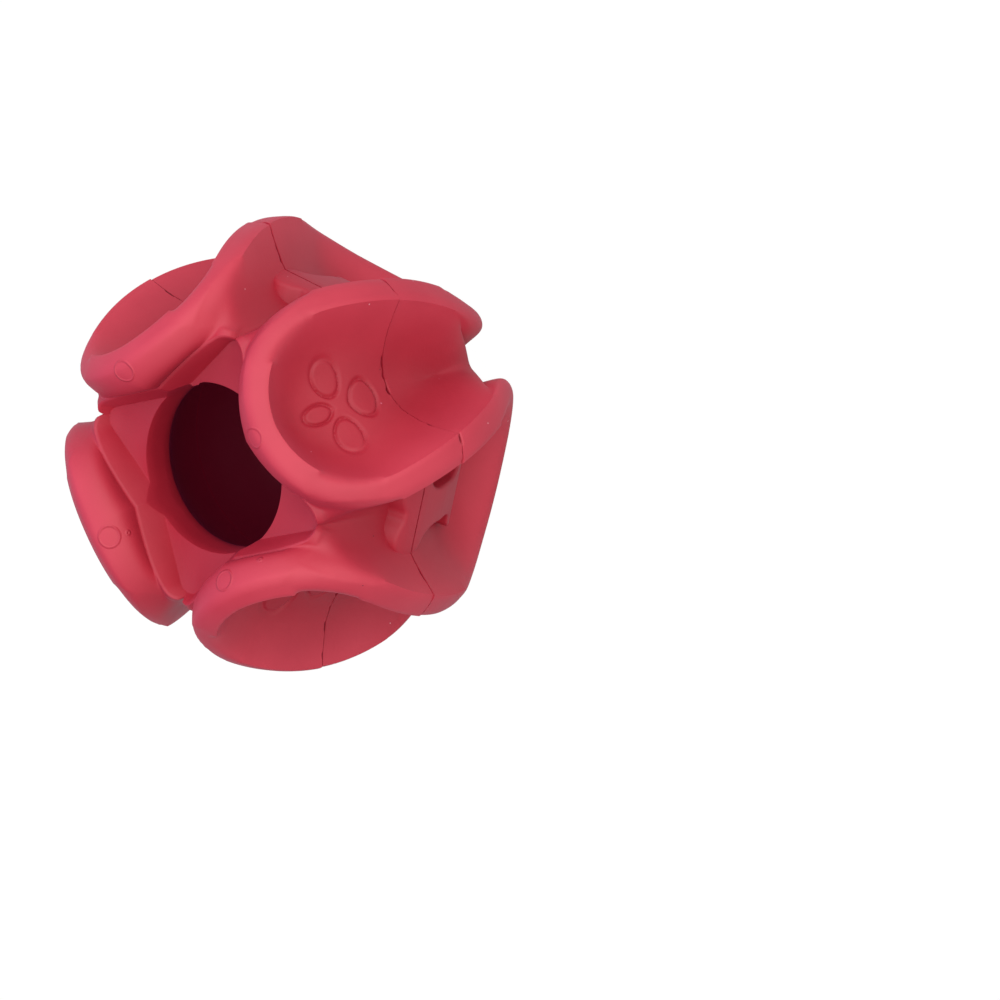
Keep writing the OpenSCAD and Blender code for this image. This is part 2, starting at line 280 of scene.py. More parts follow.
# shallow marks moulded in the paw dishes, in mm: east, north, long, wide, long axis, egg
toeMarks = (
    (5.0, 1.28, 5.83, 4.9, 80, 0.12),
    (-0.15, -4.47, 7.03, 5.73, 95, -0.16),
    (-0.22, 4.84, 5.85, 3.96, 6, -0.1),
    (-5.37, 1.36, 5.48, 4.68, 105, 0.1),
)
toeGroove = {"depth": 0.00046, "width": 0.00040, "dome": 0.00010, "floor": 0.0266, "lat": 22.0}


def toeRelief(p):
    # how far the dish floor drops at p, which lies in the lobe's own frame
    d = p.normalized()
    mid = Vector((cosd(toeGroove["lat"]), 0, sind(toeGroove["lat"])))
    north = Vector((-mid.z, 0, mid.x))
    away = d.angle(mid)
    if away > 0.6:
        return 0
    bearing = math.atan2(d.y, d.dot(north))
    east, up = (toeGroove["floor"] * 1000 * away * f(bearing) for f in (math.sin, math.cos))
    drop = 0
    for x, y, long, wide, turn, egg in toeMarks:
        a = (east - x) * sind(turn) + (up - y) * cosd(turn)
        b = (east - x) * cosd(turn) - (up - y) * sind(turn)
        w = wide / 2 * (1 + egg * 2 * a / long)
        ring = math.hypot(a / (long / 2), b / w)
        dist = (ring - 1) * wide / 2 / 1000
        drop += toeGroove["depth"] * math.exp(-(dist / toeGroove["width"]) ** 2 * 2.2)
        if ring < 1:
            drop -= toeGroove["dome"] * (1 - ring * ring)
    return drop


def chamberArc(top, steps):
    # down the chamber's wall from an angle of top to the seam
    angles = [top * (1 - k / steps) for k in range(steps + 1)]
    return [(ball["chamber"] * cosd(a), ball["chamber"] * sind(a)) for a in angles]


def openingColumn(kit, t):
    # down from the rim at one place: over its edge, down the wall, across the ledge, then
    # through the hole and down the chamber
    flat, z, outward, ease = rimPoint(kit, t)
    hole, ledge = ball["hole"], ball["ledge"]
    foot = 0.00004    # rounding of the corner with the ledge
    if flat.length < hole:
        # no ledge here: the leaning wall ends on the wall of the hole
        slant = flat.dot(outward)
        climb = (math.sqrt(slant * slant + hole * hole - flat.length_squared) - slant) / kit["wallLean"]
        flat = flat + outward * kit["wallLean"] * climb
        ledge += climb
        foot = 0.00001
    spots = [wallPoint(kit, t, turn) for turn in (30, 60, 90)]
    for turn in (0, 45, 90):
        side = flat - outward * foot * (1 - cosd(turn))
        spots.append((side.x, side.y, ledge + foot * (1 - sind(turn))))
    top = math.degrees(math.acos(hole / ball["chamber"]))
    # the edge of the hole is broken by a tenth of a millimetre
    way = [(hole, ledge), (hole - 0.00003, ledge - 0.0001), (hole - 0.0001, ledge - 0.0003)]
    way += [(hole - 0.0001, lerp(ledge - 0.0003, ball["chamber"] * sind(top), k / 3)) for k in (1, 2)]
    angle = math.atan2(flat.y, flat.x)
    return spots + [(r * math.cos(angle), r * math.sin(angle), h) for r, h in way + chamberArc(top, 12)]


def baseColumn(kit, t):
    # across the flat of the base
    rim = farEnd("bone", kit, rimShare * t)
    return [rim * Vector((k, k, 1)) for k in (0.985, 0.8, 0.4)]


def extrudeRim(bm, rim):
    # rim gives each vertex of the rim the places that the vertices made from it go to
    edges = [e for e in bm.edges if e.is_boundary and e.verts[0] in rim and e.verts[1] in rim]
    for k in range(len(next(iter(rim.values())))):
        made = bmesh.ops.extrude_edge_only(bm, edges=edges)["geom"]
        fresh = {}
        for v in made:
            if isinstance(v, bmesh.types.BMVert):
                source = next(e.other_vert(v) for e in v.link_edges if e.other_vert(v) in rim)
                fresh[v] = rim[source]
                v.co = fresh[v][k]
        edges = [e for e in made if isinstance(e, bmesh.types.BMEdge)]
        edges = [e for e in edges if e.verts[0] in fresh and e.verts[1] in fresh]
        rim = fresh


def sectorMesh(name, kit):
    # half a lobe, from its middle to the middle of the next valley
    dish, band, valley = kit["columns"]
    columns = dish + band + valley
    bm = bmesh.new()
    bmesh.ops.create_grid(bm, x_segments=columns, y_segments=rowCount, size=0.5)
    rim = {}
    for v in bm.verts:
        row, c = round((v.co.y + 0.5) * rowCount), round((v.co.x + 0.5) * columns)
        u = rowShare(row)
        if c == columns and row <= rimRow:
            inward = openingColumn if name == "paw" else baseColumn
            rim[v] = inward(kit, row / rimRow)
        if c <= dish:
            v.co = skinPoint(name, kit, u, 0, (c / dish) ** 0.75)
            if name == "paw":
                v.co -= v.co.normalized() * toeRelief(v.co)
        elif c <= dish + band:
            v.co = skinPoint(name, kit, u, 1, (c - dish) / band)
        else:
            v.co = skinPoint(name, kit, u, 2, ((c - dish - band) / valley) ** 1.25)
    extrudeRim(bm, rim)
    return bm


def everything(bm):
    return bm.verts[:] + bm.edges[:] + bm.faces[:]


def boundaryLoop(bm, test):
    return [e for e in bm.edges if e.is_boundary and test(e.verts[0].co) and test(e.verts[1].co)]


def fourLobes(bm):
    # mirrors half a lobe in its middle plane, then sets four lobes round the axis
    bmesh.ops.mirror(bm, geom=everything(bm), matrix=Matrix.Identity(4), merge_dist=0, axis="Y")
    bmesh.ops.spin(bm, geom=everything(bm), cent=(0, 0, 0), axis=(0, 0, 1),
                   angle=math.radians(3 * lobeStep), steps=3, use_duplicate=True)


def turned(bm, angle, axis):
    matrix = Matrix.Rotation(math.radians(angle), 3, axis)
    bmesh.ops.rotate(bm, verts=bm.verts, cent=(0, 0, 0), matrix=matrix)


def shellMesh(name):
    bm = sectorMesh(name, shells[name])
    fourLobes(bm)
    bmesh.ops.remove_doubles(bm, verts=bm.verts, dist=sameSpot)
    if name == "bone":
        flat = boundaryLoop(bm, lambda p: p.z > 0.001)
        bmesh.ops.holes_fill(bm, edges=flat, sides=0)
        dome = [bm.verts.new((r, 0, z)) for r, z in chamberArc(90, 24)]
        lines = [bm.edges.new(pair) for pair in zip(dome, dome[1:])]
        bmesh.ops.spin(bm, geom=dome + lines, cent=(0, 0, 0), axis=(0, 0, 1),
                       angle=math.tau, steps=chamberSteps, use_merge=True)
        bmesh.ops.remove_doubles(bm, verts=bm.verts, dist=sameSpot)
    seam = boundaryLoop(bm, lambda p: abs(p.z) < 0.00001)
    bmesh.ops.triangle_fill(bm, use_beauty=True, edges=seam, normal=(0, 0, -1))
    bmesh.ops.translate(bm, verts=bm.verts, vec=(0, 0, ball["bondHalf"]))
    left = sum(e.is_boundary for e in bm.edges)
    print(name, "shell closed" if left == 0 else "shell has %d open edges" % left)
    return bm


# the joint: both half shells follow one slightly ragged line, with nicks and a thin flash
joint = {
    "close": 0.00004, "nick": 0.00022, "sink": 0.00016, "flash": 0.00012,
    "reach": 0.0011,       # how far from the joint the skin follows the line
    "lip": 0.0004,         # how far from it the skin is nicked
    "slow": 0.00022, "quick": 0.00012, "step": 0.00016,
    # how fine the tears, the patches with tears and the flash are
    "tears": 420, "patches": 70, "flashes": 600,
}


def seamWander(p):
    # how far the line of the joint lies above the plane of the seam at p
    turn = math.atan2(p.y, p.x)
    slow = noise.noise(Vector((math.cos(turn) * 5, math.sin(turn) * 5, p.xy.length * 90)))
    quick = noise.noise(Vector((math.cos(turn) * 23, math.sin(turn) * 23, 4 + p.xy.length * 300)))
    step = noise.cell(Vector((turn * 31, 2.5, 1))) - 0.5
    return joint["slow"] * slow + joint["quick"] * quick + (joint["step"] * step if quick > 0.1 else 0)


# where the skin is rounded off round the valleys: several heights to start from, so that no
# edge is left where the softened part ends, the degrees that it spreads from a valley, and
# the distance from the axis that it stays clear of
softened = {
    "pawSides": {"low": (0.022, 0.020, 0.018, 0.016), "high": 0.030, "spread": 24,
                 "clear": 0.0268, "rounds": 6},
    "pawFloors": {"low": (0.021, 0.019, 0.017, 0.015, 0.013), "high": 0.030, "spread": 13,
                  "clear": 0.0262, "rounds": 11},
    "boneEnds": {"low": (0.028, 0.026, 0.024, 0.022, 0.020, 0.018, 0.016, 0.014), "high": 0.05,
                 "spread": 50, "clear": 0.0115, "rounds": 6},
}


def valleySkin(bm, low, kit):
    # the skin near the valleys, which lie at half a step before the shell is turned
    found = []
    for v in bm.verts:
        off = abs(math.degrees(math.atan2(v.co.y, v.co.x)) % lobeStep - halfStep)
        outside = v.co.xy.length > kit["clear"]
        if low < v.co.z < kit["high"] and outside and off < kit["spread"]:
            found.append(v)
    return found


def soften(bm, kit):
    # rounds off creases without moving what is already smooth by much
    for low in kit["low"]:
        chosen = valleySkin(bm, low, kit)
        for _ in range(kit["rounds"]):
            bmesh.ops.smooth_vert(bm, verts=chosen, factor=0.5,
                                  use_axis_x=True, use_axis_y=True, use_axis_z=True)


# a torn scrap of rubber left on the edge of the hole, over a few degrees
scrap = {"turn": 98, "spread": 9, "size": 0.0010, "depth": 0.0002, "band": 0.00012}


def holeScrap(bm):
    for v in bm.verts:
        r = v.co.xy.length
        down = ball["ledge"] - (v.co.z - ball["bondHalf"])
        if abs(r - ball["hole"]) < scrap["band"] and 0 <= down < scrap["depth"]:
            turn = math.degrees(math.atan2(v.co.y, v.co.x))
            near = smooth(1 - abs(turn - scrap["turn"]) / scrap["spread"])
            torn = 0.6 + noise.noise(Vector((turn * 0.9, 0, 2)))
            v.co.xy *= 1 - scrap["size"] * near * max(0, torn) / r


def seamNoise(p, fine, layer):
    return noise.noise(Vector((p.x * fine, p.y * fine, layer)))


def raggedSeam(bm, side):
    for v in bm.verts:
        p = v.co
        if p.xy.length < ball["chamber"] + 0.001:
            continue
        depth = abs(p.z) - ball["bondHalf"]
        if depth > joint["reach"]:
            continue
        fade = 1 - smooth(depth / joint["reach"])
        near = 1 - smooth(depth / joint["lip"])
        torn = seamNoise(p, joint["tears"], 3 + side) - 0.18
        torn = smooth(torn / 0.16) * smooth(seamNoise(p, joint["patches"], 7) * 4 + 0.4)
        lip = max(0, seamNoise(p, joint["flashes"], 9 + side))
        p.z += seamWander(p) * fade + side * near * (joint["nick"] * torn - joint["close"])
        p.xy += p.xy.normalized() * near * (joint["flash"] * lip - joint["sink"] * torn)


# bone pads: a flat slab on each bone dish, cut through by the joint
bonePad = {
    "lat": -16.0,
    "top": 0.0310,      # radius of the face, which is bowed about the axis
    "root": 0.0235,     # radius that the slab starts from, inside the shell
    "edge": 0.0006,
    "cut": 0.00113,     # between the cuts that let the face bow
    "quarter": ((0, 3.6), (3.2, 3.7), (5.4, 4.9), (6.6, 7.0), (8.9, 8.0), (11.6, 7.5),
                (13.0, 5.4), (12.7, 2.8), (11.9, 1.0), (11.8, 0)),    # mm
    "segments": 144,
}


def curveThrough(points, t):
    # closed Catmull-Rom curve
    n = len(points)
    k = int(t * n) % n
    f = t * n - int(t * n)
    a, b, c, d = (points[(k + i) % n] for i in (-1, 0, 1, 2))
    bend = (2 * a - 5 * b + 4 * c - d) * f * f
    return 0.5 * ((2 * b) + (c - a) * f + bend + (3 * b - a - 3 * c + d) * f ** 3)


def bonePadMesh(turn, keepUpper):
    q = [Vector(p) / 1000 for p in bonePad["quarter"]]
    loop = [Vector((p.x, p.y)) for p in q]
    loop += [Vector((p.x, -p.y)) for p in reversed(q[:-1])]
    loop += [Vector((-p.x, -p.y)) for p in q[1:]]
    loop += [Vector((-p.x, p.y)) for p in reversed(q[1:-1])]
    bm = bmesh.new()
    made = bmesh.ops.create_circle(bm, cap_ends=True, segments=bonePad["segments"], radius=1)
    for k, v in enumerate(made["verts"]):
        spot = curveThrough(loop, k / bonePad["segments"])
        v.co = (spot.x, spot.y, bonePad["root"])
    up = bmesh.ops.extrude_face_region(bm, geom=bm.faces[:])["geom"]
    top = [g for g in up if isinstance(g, bmesh.types.BMVert)]
    bmesh.ops.translate(bm, verts=top, vec=(0, 0, bonePad["top"] - bonePad["root"]))
    high = bonePad["top"] - 0.00001
    rim = [e for e in bm.edges if e.verts[0].co.z > high and e.verts[1].co.z > high]
    bmesh.ops.bevel(bm, geom=rim, offset=bonePad["edge"], segments=3,
                    affect="EDGES", profile=0.5, material=-1)
    for k in range(-11, 12):
        spot = (k * bonePad["cut"], 0, 0)
        bmesh.ops.bisect_plane(bm, geom=everything(bm), plane_co=spot, plane_no=(1, 0, 0))
    for v in bm.verts:
        if v.co.z > bonePad["root"] + 0.001:
            v.co.z += math.sqrt(bonePad["top"] ** 2 - v.co.x ** 2) - bonePad["top"]
    turned(bm, 90 - bonePad["lat"], "Y")
    turned(bm, turn, "Z")
    side = 1 if keepUpper else -1
    cut = bmesh.ops.bisect_plane(bm, geom=everything(bm), plane_co=(0, 0, side * ball["bondHalf"]),
                                 plane_no=(0, 0, side), clear_inner=True)
    edges = [g for g in cut["geom_cut"] if isinstance(g, bmesh.types.BMEdge)]
    bmesh.ops.holes_fill(bm, edges=edges, sides=0)
    bmesh.ops.recalc_face_normals(bm, faces=bm.faces)
    return bm


def joinInto(bm, other):
    spare = bpy.data.meshes.new("spare")
    other.to_mesh(spare)
    bm.from_mesh(spare)
    other.free()
    bpy.data.meshes.remove(spare)


def finishPiece(bm, name, node, material, sharp=38):
    for f in bm.faces:
        f.smooth = True
    for e in bm.edges:
        if len(e.link_faces) == 2 and e.calc_face_angle(0) > math.radians(sharp):
            e.smooth = False
    bmesh.ops.translate(bm, verts=bm.verts, vec=(0, 0, ball["seamHeight"]))
    mesh = bpy.data.meshes.new(name)
    bm.to_mesh(mesh)
    print(name, "has", sum(len(p.vertices) - 2 for p in mesh.polygons), "triangles")
    bm.free()
    piece = bpy.data.objects.new(name, mesh)
    scene.collection.objects.link(piece)
    piece.data.materials.append(material)
    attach(piece, "root")
    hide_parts(node)
    return piece


def newGroup(name, inputs, outputs):
    group = bpy.data.node_groups.new(name, "ShaderNodeTree")
    for label, kind, value in inputs:
        s = group.interface.new_socket(label, in_out="INPUT", socket_type=kind)
        s.default_value = value
    for label, kind in outputs:
        group.interface.new_socket(label, in_out="OUTPUT", socket_type=kind)
    return group, group.nodes.new("NodeGroupInput"), group.nodes.new("NodeGroupOutput")


def link(tree, a, b):
    tree.links.new(a, b)


def mathNode(tree, operation, a, b=None, c=None, clamp=False):
    node = tree.nodes.new("ShaderNodeMath")
    node.operation = operation
    node.use_clamp = clamp
    for socket, value in zip(node.inputs, (a, b, c)):
        if value is None:
            continue
        if isinstance(value, (int, float)):
            socket.default_value = value
        else:
            link(tree, value, socket)
    return node.outputs[0]


def rampNode(tree, value, stops):
    node = tree.nodes.new("ShaderNodeValToRGB")
    for element, (place, colour) in zip(node.color_ramp.elements, (stops[0], stops[-1])):
        element.position = place
        element.color = (*colour, 1)
    for place, colour in stops[1:-1]:
        node.color_ramp.elements.new(place).color = (*colour, 1)
    link(tree, value, node.inputs["Fac"])
    return node.outputs["Color"]


def mixColour(tree, factor, a, b, kind="MIX"):
    node = tree.nodes.new("ShaderNodeMix")
    node.data_type = "RGBA"
    node.blend_type = kind
    for socket, value in ((node.inputs[0], factor), (node.inputs[6], a), (node.inputs[7], b)):
        if isinstance(value, (int, float)):
            socket.default_value = value
        elif isinstance(value, tuple):
            socket.default_value = (*value, 1)
        else:
            link(tree, value, socket)
    return node.outputs[2]


def mouldedGrain():
    # soft mottling and fine pitting of pressed rubber, 0 to 1 round the middle
    inputs = [("Vector", "NodeSocketVector", (0, 0, 0)), ("Broad", "NodeSocketFloat", 60.0),
              ("Fine", "NodeSocketFloat", 1400.0)]
    outputs = [("Mottle", "NodeSocketFloat"), ("Grain", "NodeSocketFloat")]
    group, start, end = newGroup("mouldedGrain", inputs, outputs)
    broad = group.nodes.new("ShaderNodeTexNoise")
    broad.inputs["Detail"].default_value = 3
    fine = group.nodes.new("ShaderNodeTexNoise")
    fine.inputs["Detail"].default_value = 2
    for node, label in ((broad, "Broad"), (fine, "Fine")):
        link(group, start.outputs["Vector"], node.inputs["Vector"])
        link(group, start.outputs[label], node.inputs["Scale"])
    link(group, broad.outputs["Fac"], end.inputs["Mottle"])
    link(group, fine.outputs["Fac"], end.inputs["Grain"])
    return group


def dustSpecks():
    # sparse pale and dark specks that cling to the rubber
    inputs = [("Vector", "NodeSocketVector", (0, 0, 0)), ("Scale", "NodeSocketFloat", 260.0),
              ("Size", "NodeSocketFloat", 0.1)]
    outputs = [("Pale", "NodeSocketFloat"), ("Dark", "NodeSocketFloat")]
    group, start, end = newGroup("dustSpecks", inputs, outputs)
    cells = group.nodes.new("ShaderNodeTexVoronoi")
    link(group, start.outputs["Vector"], cells.inputs["Vector"])
    link(group, start.outputs["Scale"], cells.inputs["Scale"])
    pick = group.nodes.new("ShaderNodeSeparateColor")
    link(group, cells.outputs["Color"], pick.inputs["Color"])
    near = mathNode(group, "LESS_THAN", cells.outputs["Distance"], start.outputs["Size"])
    pale = mathNode(group, "MULTIPLY", near, mathNode(group, "GREATER_THAN", pick.outputs[0], 0.975))
    dark = mathNode(group, "MULTIPLY", near, mathNode(group, "GREATER_THAN", pick.outputs[1], 0.98))
    link(group, pale, end.inputs["Pale"])
    link(group, dark, end.inputs["Dark"])
    return group


def ringMark():
    # a fine round line at a radius from a centre, as a moulding vent leaves, and the disc in it
    inputs = [("Vector", "NodeSocketVector", (0, 0, 0)), ("Centre", "NodeSocketVector", (0, 0, 0)),
              ("Radius", "NodeSocketFloat", 0.002), ("Width", "NodeSocketFloat", 0.0003)]
    outputs = [("Line", "NodeSocketFloat"), ("Disc", "NodeSocketFloat")]
    group, start, end = newGroup("ringMark", inputs, outputs)
    far = group.nodes.new("ShaderNodeVectorMath")
    far.operation = "DISTANCE"
    link(group, start.outputs["Vector"], far.inputs[0])
    link(group, start.outputs["Centre"], far.inputs[1])
    off = mathNode(group, "SUBTRACT", far.outputs["Value"], start.outputs["Radius"])
    off = mathNode(group, "DIVIDE", mathNode(group, "ABSOLUTE", off), start.outputs["Width"])
    line = mathNode(group, "SUBTRACT", 1.0, off, clamp=True)
    link(group, line, end.inputs["Line"])
    inner = mathNode(group, "SUBTRACT", start.outputs["Radius"], far.outputs["Value"])
    link(group, mathNode(group, "DIVIDE", inner, start.outputs["Width"], clamp=True), end.inputs["Disc"])
    return group


grainGroup, speckGroup, ringGroup = mouldedGrain(), dustSpecks(), ringMark()


def placeGroup(tree, group, vector, **values):
    node = tree.nodes.new("ShaderNodeGroup")
    node.node_tree = group
    link(tree, vector, node.inputs["Vector"])
    for label, value in values.items():
        node.inputs[label].default_value = value
    return node


# what all the rubber shares
surface = {
    "deepAt": 0.3, "mainAt": 0.52, "wornAt": 0.75,    # where the mottling has each of its reds
    "relief": 0.0002, "mottle": 0.8, "grain": 0.25, "speck": 0.3,
    "markWidth": 0.0003, "markDisc": -0.4,            # of the vent marks; their disc lies lower
    "skin": 0.0003,                                   # how far past the chamber's wall its painted shade and smoother skin reach
    "coatRough": 0.30, "sheenRough": 0.45,
}


def rubberMaterial(name, look):
    material = bpy.data.materials.new(name)
    material.use_nodes = True
    tree = material.node_tree
    shader = tree.nodes["Principled BSDF"]
    place = tree.nodes.new("ShaderNodeTexCoord").outputs["Object"]
    grain = placeGroup(tree, grainGroup, place, Broad=look["broad"], Fine=look["fine"])
    specks = placeGroup(tree, speckGroup, place, Scale=look["speckScale"], Size=look["speckSize"])
    stops = [(surface[k + "At"], look[k]) for k in ("deep", "main", "worn")]
    body = rampNode(tree, grain.outputs["Mottle"], stops)
    body = mixColour(tree, specks.outputs["Dark"], body, look["darkSpeck"])
    body = mixColour(tree, specks.outputs["Pale"], body, look["paleSpeck"])
    # painted shade: the wall of the chamber is coloured near black, as it lies in shade inside the
    # closed ball, and it keeps a smoother skin
    far = tree.nodes.new("ShaderNodeVectorMath")
    far.operation = "DISTANCE"
    link(tree, place, far.inputs[0])
    far.inputs[1].default_value = (0, 0, ball["seamHeight"])
    chamberShade = mathNode(tree, "LESS_THAN", far.outputs["Value"], ball["chamber"] + surface["skin"])
    # painted shade: inside the ridges' radius the red is darkened, as shade in the dishes and recesses,
    # so that the ridges look lighter as sheen would make them
    recessShadeShare = mathNode(tree, "SUBTRACT", look["shadeFrom"], far.outputs["Value"])
    recessShadeShare = mathNode(tree, "DIVIDE", recessShadeShare, look["shadeOver"], clamp=True)
    body = mixColour(tree, recessShadeShare, body, look["recessShade"], "MULTIPLY")
    # painted shade on the chamber's wall
    body = mixColour(tree, chamberShade, body, look["chamberShade"])
    link(tree, body, shader.inputs["Base Color"])
    least = look["rough"] - look["roughSwing"] / 2
    rough = mathNode(tree, "MULTIPLY_ADD", grain.outputs["Mottle"], look["roughSwing"], least)
    smoother = mathNode(tree, "MULTIPLY", chamberShade, look["rough"] - look["roughInside"])
    rough = mathNode(tree, "SUBTRACT", rough, smoother)
    link(tree, rough, shader.inputs["Roughness"])
    bump = tree.nodes.new("ShaderNodeBump")
    bump.inputs["Strength"].default_value = look["bump"]
    bump.inputs["Distance"].default_value = surface["relief"]
    raised = [(grain.outputs["Grain"], surface["grain"]), (specks.outputs["Pale"], surface["speck"])]
    for x, y, z, radius, strength in look["marks"]:
        ring = placeGroup(tree, ringGroup, place, Radius=radius, Width=surface["markWidth"])
        ring.inputs["Centre"].default_value = (x, y, z + ball["seamHeight"])
        raised.append((ring.outputs["Line"], strength))
        raised.append((ring.outputs["Disc"], surface["markDisc"] * strength))
    height = mathNode(tree, "MULTIPLY", grain.outputs["Mottle"], surface["mottle"])
    for value, strength in raised:
        height = mathNode(tree, "ADD", height, mathNode(tree, "MULTIPLY", value, strength))
    link(tree, height, bump.inputs["Height"])
    link(tree, bump.outputs["Normal"], shader.inputs["Normal"])
    link(tree, mathNode(tree, "MULTIPLY", chamberShade, look["coatInside"]), shader.inputs["Coat Weight"])
    shader.inputs["Coat Roughness"].default_value = surface["coatRough"]
    shader.inputs["Specular IOR Level"].default_value = look["specular"]
    shader.inputs["Sheen Weight"].default_value = look["sheen"]
    shader.inputs["Sheen Roughness"].default_value = surface["sheenRough"]
    shader.inputs["Sheen Tint"].default_value = (*look["sheenTint"], 1)
    return material


# vent marks on the faces of the four paw lobes, with small pips beside two of them: where each
# is, measured from the middle of the seam, its radius and its strength
ventMarks = (
    (-0.01682, -0.01037, 0.02995, 0.0019, 3.2), (-0.00814, 0.0192, 0.03062, 0.0019, 2.4),
    (0.0084, -0.01753, 0.03021, 0.0018, 3.2), (0.01952, 0.0077, 0.03064, 0.0018, 2.4),
    (-0.01435, -0.01009, 0.02745, 0.0004, 4.0), (0.01474, -0.01404, 0.02753, 0.0005, 4.0),
)
redRubber = rubberMaterial("redRubber", {
    "main": (0.56, 0.036, 0.062), "deep": (0.51, 0.029, 0.053), "worn": (0.60, 0.045, 0.073),
    # the inside colour is painted shade for the chamber's wall
    "paleSpeck": (0.80, 0.42, 0.46), "darkSpeck": (0.16, 0.005, 0.018), "chamberShade": (0.18, 0.003, 0.020),
    "broad": 55.0, "fine": 1500.0, "speckScale": 430.0, "speckSize": 0.06,
    "rough": 0.52, "roughSwing": 0.12, "roughInside": 0.36, "coatInside": 0.35, "bump": 0.4,
    "specular": 0.48, "sheen": 0.015, "sheenTint": (0.55, 0.30, 1.0), "marks": ventMarks,
    # the recess colour is painted shade for the dishes and recesses
    "shadeFrom": 0.0385, "shadeOver": 0.010, "recessShade": (0.74, 0.34, 0.46),
})
bondRubber = rubberMaterial("bondRubber", {
    "main": (0.22, 0.006, 0.018), "deep": (0.14, 0.004, 0.012), "worn": (0.30, 0.010, 0.026),
    # its inside colour matches the painted shade of the chamber's wall
    "paleSpeck": (0.5, 0.2, 0.24), "darkSpeck": (0.05, 0.002, 0.006), "chamberShade": (0.22, 0.005, 0.026),
    "broad": 140.0, "fine": 1500.0, "speckScale": 330.0, "speckSize": 0.05,
    "rough": 0.6, "roughSwing": 0.15, "roughInside": 0.36, "coatInside": 0.35, "bump": 0.5,
    "specular": 0.28, "sheen": 0.0, "sheenTint": (1, 1, 1), "marks": (),
    "shadeFrom": 0.0385, "shadeOver": 0.010, "recessShade": (1, 1, 1),
})
print("materials made")

pawShell = shellMesh("paw")
soften(pawShell, softened["pawSides"])
soften(pawShell, softened["pawFloors"])
turned(pawShell, crossing, "Z")
bmesh.ops.recalc_face_normals(pawShell, faces=pawShell.faces)
raggedSeam(pawShell, 1)
holeScrap(pawShell)
for k in range(4):
    joinInto(pawShell, bonePadMesh(halfStep + crossing + lobeStep * k, True))
finishPiece(pawShell, "paw_half_skin", "paw_half", redRubber)

boneShell = shellMesh("bone")
soften(boneShell, softened["boneEnds"])
turned(boneShell, crossing, "Z")
turned(boneShell, 180, "X")
bmesh.ops.recalc_face_normals(boneShell, faces=boneShell.faces)
raggedSeam(boneShell, -1)
for k in range(4):
    joinInto(boneShell, bonePadMesh(halfStep + crossing + lobeStep * k, False))
finishPiece(boneShell, "bone_half_skin", "bone_half", redRubber)
print("half shells made")


bondLayer = {"back": 0.0004, "sameSpot": 0.00001}    # it lies a little back from the skin


def bondMesh():
    kit = shells["paw"]
    bm = bmesh.new()
    bmesh.ops.create_grid(bm, x_segments=70, y_segments=1, size=0.5)
    low = [v for v in bm.verts if v.co.y < 0]
    for v in bm.verts:
        c = (v.co.x + 0.5) * 3
        part = min(2, int(c))
        p = skinPoint("paw", kit, 1, part, c - part)
        flat = p.xy * (1 - bondLayer["back"] / p.xy.length)
        v.co = (flat.x, flat.y, -ball["bondHalf"] if v in low else ball["bondHalf"])
    fourLobes(bm)
    bmesh.ops.remove_doubles(bm, verts=bm.verts, dist=bondLayer["sameSpot"])
    ends = [bm.verts.new((ball["chamber"], 0, z)) for z in (-ball["bondHalf"], ball["bondHalf"])]
    line = bm.edges.new(ends)
    bmesh.ops.spin(bm, geom=ends + [line], cent=(0, 0, 0), axis=(0, 0, 1),
                   angle=math.tau, steps=chamberSteps, use_merge=True)
    for side in (-1, 1):
        flat = boundaryLoop(bm, lambda p: p.z * side > 0)
        bmesh.ops.triangle_fill(bm, use_beauty=True, edges=flat, normal=(0, 0, side))
    bmesh.ops.remove_doubles(bm, verts=bm.verts, dist=bondLayer["sameSpot"])
    turned(bm, crossing, "Z")
    bmesh.ops.recalc_face_normals(bm, faces=bm.faces)
    for v in bm.verts:
        if v.co.xy.length > ball["chamber"] + 0.001:
            v.co.z += seamWander(v.co)
    return bm


finishPiece(bondMesh(), "seam_bond_layer", "seam_bond", bondRubber)
print("bonding layer made")

stage = {
    "floorSize": 3.0, "floorColour": (0.34, 0.34, 0.34), "floorRough": 0.8,
    "floorWhite": 1.05,    # strength of the white that the camera sees
    "floorGlow": 0.95,     # how much of that covers the shaded floor
    "glossyGlow": 0.3,     # and how much of it gloss reflects
}


def paleFloor(name, colour, glow):
    # a plain floor that mostly shows as white to the camera, and still takes the ball's shadow
    material = bpy.data.materials.new(name)
    material.use_nodes = True
    tree = material.node_tree
    shader = tree.nodes["Principled BSDF"]
    shader.inputs["Base Color"].default_value = (*colour, 1)
    shader.inputs["Roughness"].default_value = stage["floorRough"]
    light = tree.nodes.new("ShaderNodeEmission")
    light.inputs["Strength"].default_value = stage["floorWhite"]
    path = tree.nodes.new("ShaderNodeLightPath")
    glossy = mathNode(tree, "MULTIPLY", path.outputs["Is Glossy Ray"], stage["glossyGlow"])
    seen = mathNode(tree, "MAXIMUM", path.outputs["Is Camera Ray"], glossy)
    seen = mathNode(tree, "MAXIMUM", seen, path.outputs["Is Transmission Ray"])
    seen = mathNode(tree, "MULTIPLY", seen, glow)
    mix = tree.nodes.new("ShaderNodeMixShader")
    link(tree, seen, mix.inputs[0])
    link(tree, shader.outputs[0], mix.inputs[1])
    link(tree, light.outputs[0], mix.inputs[2])
    link(tree, mix.outputs[0], tree.nodes["Material Output"].inputs["Surface"])
    return material


floorMesh = bmesh.new()
bmesh.ops.create_grid(floorMesh, x_segments=8, y_segments=8, size=stage["floorSize"] / 2)
bmesh.ops.translate(floorMesh, verts=floorMesh.verts, vec=(0, 0, cadLow.z))
floorData = bpy.data.meshes.new("floor")
floorMesh.to_mesh(floorData)
floorMesh.free()
floorPiece = bpy.data.objects.new("floor", floorData)
scene.collection.objects.link(floorPiece)
floorPiece.data.materials.append(paleFloor("paleFloor", stage["floorColour"], stage["floorGlow"]))

